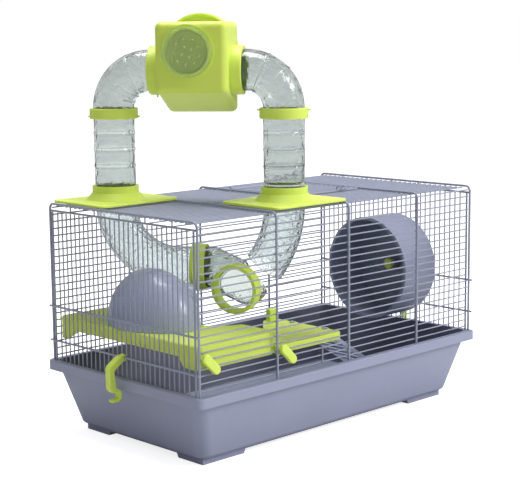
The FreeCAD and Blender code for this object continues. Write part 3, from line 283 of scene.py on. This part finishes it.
LAVENDER = (0.305, 0.328, 0.46)
GREEN = (0.68, 0.83, 0.14)

TRAY_FINISH = moulded_plastic("lavender_tray_plastic", LAVENDER, 0.42)
HOUSE_FINISH = moulded_plastic("lavender_house_plastic", (0.37, 0.40, 0.56), 0.28, coat=0.3)
WHEEL_FINISH = moulded_plastic("lavender_wheel_plastic", (0.27, 0.292, 0.41), 0.38)
GREEN_FINISH = moulded_plastic("green_plastic", GREEN, 0.38, glow=0.4, gloss=0.35)
WIRE_FINISH = coated_wire("lavender_coated_wire", (0.28, 0.305, 0.41))
CLEAR_FINISH = clear_plastic("clear_tube_plastic", (0.67, 0.71, 0.70), 0.05, 0.8, 75.0)
SPARKLE_FINISH = clear_plastic("clear_rippled_plastic", (0.80, 0.85, 0.85), 0.04, 1.0, 170.0)
TEE_FINISH = clear_plastic("clear_tee_plastic", (0.60, 0.66, 0.62), 0.08, 0.9, 130.0)
# Painted shade: a dark colour for a sheet over the tray's inner walls, standing in for the shade inside
# the tray.
PAINTED_SHADE_FINISH = moulded_plastic("painted_shade_tray_walls", (0.115, 0.123, 0.17), 0.5)
CAP_FINISH = clear_plastic("clear_cap_plastic", (0.84, 0.95, 0.50), 0.04, 0.12, 60.0, 0.78)


# --- CAD nodes that keep their shape -------------------------------------------------------------

def paint(finish, *names):
    for name in names:
        mesh = frame["nodes"][name].data
        mesh.materials.clear()
        mesh.materials.append(finish)


def nodes_in_slot(slot):
    return [entry["node"] for entry in frame["record"]["subparts"] if entry["material_slot"] == slot]


def paint_frame():
    paint(TRAY_FINISH, *nodes_in_slot("tray_plastic"))
    paint(WIRE_FINISH, *nodes_in_slot("coated_wire"))
    paint(GREEN_FINISH, *nodes_in_slot("green_plastic"))
    paint(WHEEL_FINISH, *nodes_in_slot("wheel_plastic"))
    paint(HOUSE_FINISH, *nodes_in_slot("house_plastic"))
    paint(CLEAR_FINISH, *nodes_in_slot("clear_plastic"))
    paint(TEE_FINISH, "inner_tee")
    paint(CAP_FINISH, "window_cap")


def add_piece(name, made, finish):
    """New object from a bmesh, which is used up."""
    mesh = bpy.data.meshes.new(name)
    made.to_mesh(mesh)
    made.free()
    mesh.materials.append(finish)
    piece = bpy.data.objects.new(name, mesh)
    bpy.context.scene.collection.objects.link(piece)
    return piece


# --- Tubes ---------------------------------------------------------------------------------------
# The run of tubes lies in one upright plane. A point of it is (along, up): along from the middle of
# the run towards the right port, up from the floor.

TUBE_RADIUS = 25.5 * MM
TUBE_WALL = 1.8 * MM
ELBOW_RADIUS = 46 * MM
INNER_BEND = 80 * MM
COLLAR_REACH = 48.5 * MM        # from the middle of the run to the end of an elbow
TEE_REACH = 60 * MM
TEE_LEVEL = 189.5 * MM
TEE_RISE = 13.5                 # degrees of the long bend that belong to the tee
BEND_END = -4 * MM              # where the left bend meets the tee, along the run
JOINT_GAP = 0.2 * MM            # half the gap between a tube and the elbow on it
STATION_STEP = 0.8 * MM
AROUND = 120                    # facets around a tube


def middle_of(node):
    low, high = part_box(node)
    return (low + high) / 2


LEFT_PORT = middle_of("left_upper_tube").to_2d()
RIGHT_PORT = middle_of("right_upper_tube").to_2d()
RUN_MIDDLE = (LEFT_PORT + RIGHT_PORT) / 2
RUN = (RIGHT_PORT - LEFT_PORT).normalized()
HALF_RUN = (RIGHT_PORT - LEFT_PORT).length / 2
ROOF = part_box("left_port_plate")[0].z
RING_LOW, RING_TOP = (corner.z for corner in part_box("left_joint_ring"))
RING_MIDDLE = (RING_LOW + RING_TOP) / 2
RUN_LEVEL = RING_TOP + ELBOW_RADIUS
RUN_ALONG = Vector((RUN.x, RUN.y, 0))
RUN_ACROSS = Vector((-RUN.y, RUN.x, 0))


def in_run(along, up):
    """Point of the frame at a place in the plane of the run."""
    return Vector((RUN_MIDDLE.x + along * RUN.x, RUN_MIDDLE.y + along * RUN.y, up))


def straight(start, end):
    """Stations of a straight stretch: (centre, normal in the plane, length so far)."""
    start, end = Vector(start), Vector(end)
    length = (end - start).length
    direction = (end - start) / length
    normal = Vector((direction.y, -direction.x))
    count = max(2, round(length / STATION_STEP))
    return [(start + direction * length * i / count, normal, length * i / count) for i in range(count + 1)]


def arc(centre, radius, first, last):
    """Stations of a bend about centre, from angle first to last in degrees; normals point outwards."""
    length = abs(math.radians(last - first)) * radius
    count = max(2, round(length / STATION_STEP))
    stations = []
    for i in range(count + 1):
        angle = math.radians(first + (last - first) * i / count)
        normal = Vector((math.cos(angle), math.sin(angle)))
        stations.append((Vector(centre) + radius * normal, normal, length * i / count))
    return stations


def joined(*stretches):
    """One run of stations; the normal of a straight stretch is turned to match the bend's side."""
    stations = []
    travelled = 0.0
    for stretch in stretches:
        if stations:
            if stretch[0][1].dot(stations[-1][1]) < 0:
                stretch = [(place, -normal, length) for place, normal, length in stretch]
            stretch = stretch[1:]
        base = travelled
        for place, normal, length in stretch:
            stations.append((place, normal, base + length))
        travelled = stations[-1][2]
    return stations


def ridge(distance, half_width):
    """Rounded bump: 1 at its middle, 0 from half_width on."""
    share = min(1.0, abs(distance) / half_width)
    return math.cos(share * math.pi / 2) ** 2


def angle_gap(one, other):
    return abs((one - other + math.pi) % (2 * math.pi) - math.pi)


def tube(name, stations, outer, inner, finish, body, node):
    """Tube shell along stations. outer(length, angle) and inner(length, angle) give its radii."""
    made = bmesh.new()
    turns = [2 * math.pi * k / AROUND for k in range(AROUND)]
    skins = []
    for radius_at in (outer, inner):
        rings = []
        for place, normal, length in stations:
            centre = in_run(place.x, place.y)
            side = in_run(place.x + normal.x, place.y + normal.y) - centre
            ring = []
            for angle in turns:
                reach = radius_at(length, angle)
                ring.append(made.verts.new(centre + reach * (math.cos(angle) * side
                                                             + math.sin(angle) * RUN_ACROSS)))
            rings.append(ring)
        skins.append(rings)
        for low, high in zip(rings, rings[1:]):
            for k in range(AROUND):
                nxt = (k + 1) % AROUND
                made.faces.new((low[k], low[nxt], high[nxt], high[k]))
    for end in (0, -1):
        out, into = skins[0][end], skins[1][end]
        for k in range(AROUND):
            nxt = (k + 1) % AROUND
            made.faces.new((out[k], out[nxt], into[nxt], into[k]))
    bmesh.ops.recalc_face_normals(made, faces=made.faces)
    for face in made.faces:
        face.smooth = True
    piece = add_piece(name, made, finish)
    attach(piece, body)
    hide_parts(node)


FLUTES = 11                     # flat lands around the inside of an upper tube
FLUTE_DEPTH = 0.35 * MM
RIB_HEIGHT = 1.0 * MM
RIB_HALF = 1.3 * MM
RIB_PITCH = 20.6 * MM
RIB_NOTCHES = 24                # shallow notches around each rib
RIB_BACK = 0.5 * MM             # how far a rib thickens the wall inwards
RIB_LEAD = 2.8 * MM             # the ribs' rows start this much above a pitch below the ring


def make_upper_tube(word, side, ribs):
    low = ROOF + 4 * MM
    top = RING_MIDDLE - JOINT_GAP
    rib_lengths = [RING_LOW - (i + 1) * RIB_PITCH + RIB_LEAD - low for i in range(ribs)]

    def outer(length, angle):
        height = max((ridge(length - place, RIB_HALF) for place in rib_lengths), default=0.0)
        notch = 0.75 + 0.25 * math.cos(RIB_NOTCHES * angle)
        return TUBE_RADIUS + height * RIB_HEIGHT * notch

    def inner(length, angle):
        flute = abs(math.sin(FLUTES * angle / 2 + side))
        step = max((ridge(length - place, 2.2 * RIB_HALF) for place in rib_lengths), default=0.0)
        return TUBE_RADIUS - TUBE_WALL - FLUTE_DEPTH * (1 - flute) ** 2 - RIB_BACK * step

    tube(f"{word}_clear_tube", straight((side * HALF_RUN, low), (side * HALF_RUN, top)), outer, inner,
         CLEAR_FINISH, "tube_arch", f"{word}_upper_tube")


ELBOW_RIBS = ((20, 0.9), (43, 1.4), (66, 2.9))      # degrees along the bend, reach to each side
ELBOW_SEAMS = (-0.62, 0.62)
SEAM_HALF = 0.07
COLLAR_DEPTH = 12 * MM          # last stretch of an elbow, smooth because it is in the nest box's collar
FLOW_DEPTH = 0.5 * MM           # uneven flow marks inside an elbow


def make_elbow(word, side):
    """Quarter bend with radial ribs on its outer half and two seams along its back."""
    joint = RING_MIDDLE + JOINT_GAP
    centre = (side * (HALF_RUN - ELBOW_RADIUS), RUN_LEVEL - ELBOW_RADIUS)
    first = 0 if side > 0 else 180
    stations = joined(straight((side * HALF_RUN, joint), (side * HALF_RUN, centre[1])),
                      arc(centre, ELBOW_RADIUS, first, 90),
                      straight((centre[0], RUN_LEVEL), (side * COLLAR_REACH, RUN_LEVEL)))
    lead = centre[1] - joint

    def height_at(length, angle):
        height = 0.0
        for lean, reach in ELBOW_RIBS:
            place = lead + math.radians(lean) * ELBOW_RADIUS
            if angle_gap(angle, 0) < reach:
                height = max(height, ridge(length - place, RIB_HALF))
        for seam in ELBOW_SEAMS:
            height = max(height, 0.5 * ridge(angle_gap(angle, seam), SEAM_HALF))
        return height

    def outer(length, angle):
        if length < lead or length > stations[-1][2] - COLLAR_DEPTH:
            return TUBE_RADIUS
        return TUBE_RADIUS + height_at(length, angle) * RIB_HEIGHT

    def inner(length, angle):
        wave = noise.noise(Vector((3 * math.cos(angle), 3 * math.sin(angle), length * 70 + 5 * side)))
        return TUBE_RADIUS - TUBE_WALL - FLOW_DEPTH * max(0.0, wave)

    tube(f"{word}_clear_elbow", stations, outer, inner, CLEAR_FINISH, "tube_arch", f"{word}_elbow")


GRIP_PITCH = 7.5 * MM
GRIP_HALF = 1.7 * MM
GRIP_LANES = 9
GRIP_DEPTH = 0.9 * MM
RIPPLE_DEPTH = 0.8 * MM
RIPPLES_AROUND = 7
RIPPLES_PER_METRE = 220


def grip_inside(seed):
    """Inside of a tube under the roof: short climbing grips and uneven ripples."""
    def inner(length, angle):
        row = math.floor(length / GRIP_PITCH)
        across = (length / GRIP_PITCH - row - 0.5) * GRIP_PITCH
        lane = 0.5 + 0.5 * math.cos(GRIP_LANES * angle + (row % 2) * math.pi)
        grip = ridge(across, GRIP_HALF) * lane ** 3
        wave = noise.noise(Vector((RIPPLES_AROUND * math.cos(angle), RIPPLES_AROUND * math.sin(angle),
                                   length * RIPPLES_PER_METRE + seed)))
        return TUBE_RADIUS - TUBE_WALL - GRIP_DEPTH * grip - RIPPLE_DEPTH * max(0.0, wave)
    return inner


def plain_outside(length, angle):
    return TUBE_RADIUS


def make_inner_bends():
    top = ROOF + 2.5 * MM
    start = ROOF - 2.5 * MM
    level = start - INNER_BEND
    left = joined(straight((-HALF_RUN, top), (-HALF_RUN, start)),
                  arc((INNER_BEND - HALF_RUN, start), INNER_BEND, 180, 270),
                  straight((INNER_BEND - HALF_RUN, level), (BEND_END, level)))
    tube("left_clear_bend", left, plain_outside, grip_inside(2), SPARKLE_FINISH, "wire_top",
         "left_inner_bend")
    across = HALF_RUN - TEE_REACH
    down = start - TEE_LEVEL
    turn = 2 * math.atan2(across, down)
    radius = down / math.sin(turn)
    right = joined(straight((HALF_RUN, top), (HALF_RUN, start)),
                   arc((HALF_RUN - radius, start), radius, 0, TEE_RISE - math.degrees(turn)))
    tube("right_clear_bend", right, plain_outside, grip_inside(11), SPARKLE_FINISH, "wire_top",
         "right_inner_bend")


def make_tubes():
    make_upper_tube("left", -1, 3)
    make_upper_tube("right", 1, 4)
    make_elbow("left", -1)
    make_elbow("right", 1)
    make_inner_bends()


# --- Painted shade on the tray's inner walls, and collar front -----------------------------------

SHADE_SHEET_LIFT = 0.35 * MM
WALL_SLOPE = (0.05, 0.9)        # upward parts of the normals of the tray's inner walls
RIM_DEPTH = 2 * MM


def make_painted_wall_shade():
    """Painted shade on the tray's inner walls: a dark sheet made of the tray's own inner faces, lifted a
    little off the plastic, standing in for the shade inside the tray.
    """
    steepest, flattest = WALL_SLOPE
    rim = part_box("base_tray")[1].z - RIM_DEPTH
    made = bmesh.new()
    made.from_mesh(frame["nodes"]["base_tray"].data)
    others = [face for face in made.faces
              if not steepest < face.normal.z < flattest or face.calc_center_median().z > rim]
    bmesh.ops.delete(made, geom=others, context="FACES")
    bmesh.ops.remove_doubles(made, verts=made.verts, dist=0.01 * MM)
    made.normal_update()
    for vert in made.verts:
        vert.co += vert.normal * SHADE_SHEET_LIFT
    piece = add_piece("tray_wall_painted_shade", made, PAINTED_SHADE_FINISH)
    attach(piece, "base")


COLLAR_OUTSIDE = 46.7 * MM
COLLAR_HOLE = 32 * MM           # its edge is inside the nest box's own walls
COLLAR_FRONT = 1.2 * MM         # how far the front wall starts before the back of the box
COLLAR_THICK = 1.6 * MM
BOX_BACK = 41 * MM              # from the plane of the run to the back of the nest box


def make_collar_front():
    """Front wall of the lid's collar, where the collar stands out over the top of the box."""
    low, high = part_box("nest_box_lid")
    middle = (low + high) / 2
    box_back = (in_run(0, middle.z) + RUN_ACROSS * BOX_BACK - middle).dot(RUN_ACROSS)
    centre = middle + RUN_ACROSS * (box_back - COLLAR_FRONT)
    spokes = [math.cos(turn) * RUN_ALONG + math.sin(turn) * Vector((0, 0, 1))
              for turn in (2 * math.pi * k / AROUND for k in range(AROUND))]
    made = bmesh.new()
    loops = [[made.verts.new(centre + RUN_ACROSS * back + reach * spoke) for spoke in spokes]
             for reach, back in ((COLLAR_OUTSIDE, 0), (COLLAR_HOLE, 0),
                                 (COLLAR_HOLE, COLLAR_THICK), (COLLAR_OUTSIDE, COLLAR_THICK))]
    for one, two in zip(loops, loops[1:] + loops[:1]):
        for k in range(AROUND):
            nxt = (k + 1) % AROUND
            made.faces.new((one[k], one[nxt], two[nxt], two[k]))
    bmesh.ops.recalc_face_normals(made, faces=made.faces)
    piece = add_piece("collar_front", made, GREEN_FINISH)
    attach(piece, "tube_arch")


# --- Build ---------------------------------------------------------------------------------------


bpy.context.scene.view_settings.view_transform = "Standard"
make_camera()
make_studio()
paint_frame()
# Painted shade: dark sheet over the tray's inner walls.
make_painted_wall_shade()
make_collar_front()
make_tubes()
